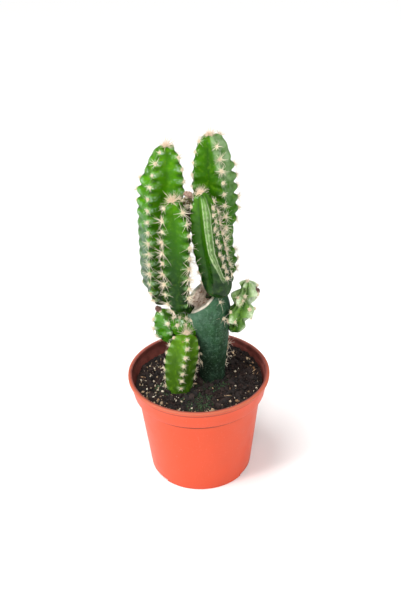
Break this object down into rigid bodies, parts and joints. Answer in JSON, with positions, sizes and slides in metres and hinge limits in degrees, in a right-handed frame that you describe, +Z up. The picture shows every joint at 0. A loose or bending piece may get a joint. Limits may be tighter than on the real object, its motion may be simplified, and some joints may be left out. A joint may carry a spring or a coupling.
{
  "type": "potted cactus",
  "caption": "Tall branching columnar cactus with spiny ribbed stems, standing in soil in a tapered round nursery pot with a rolled lip and a deep collar.",
  "frame": {"origin": "on the ground under the middle of the pot", "axes": "+Z up, -Y towards the front of the plant, +X to the viewer's right"},
  "size_m": [0.12, 0.12, 0.3038],
  "materials": {
    "pot": "satin",
    "soil": "matte",
    "trunk": "matte",
    "stem_back_left": "satin",
    "stem_back_right": "satin",
    "stem_front_left": "satin",
    "stem_front_right": "satin",
    "stem_middle": "matte",
    "pup_front": "satin",
    "pup_left": "satin",
    "pup_right": "satin"
  },
  "bodies": {
    "root": {"pot": "pot", "soil": "soil", "trunk": "trunk", "stem_back_left": "stem_back_left", "stem_back_right": "stem_back_right", "stem_front_left": "stem_front_left", "stem_front_right": "stem_front_right", "stem_middle": "stem_middle", "pup_front": "pup_front", "pup_left": "pup_left", "pup_right": "pup_right"}
  },
  "joints": []
}
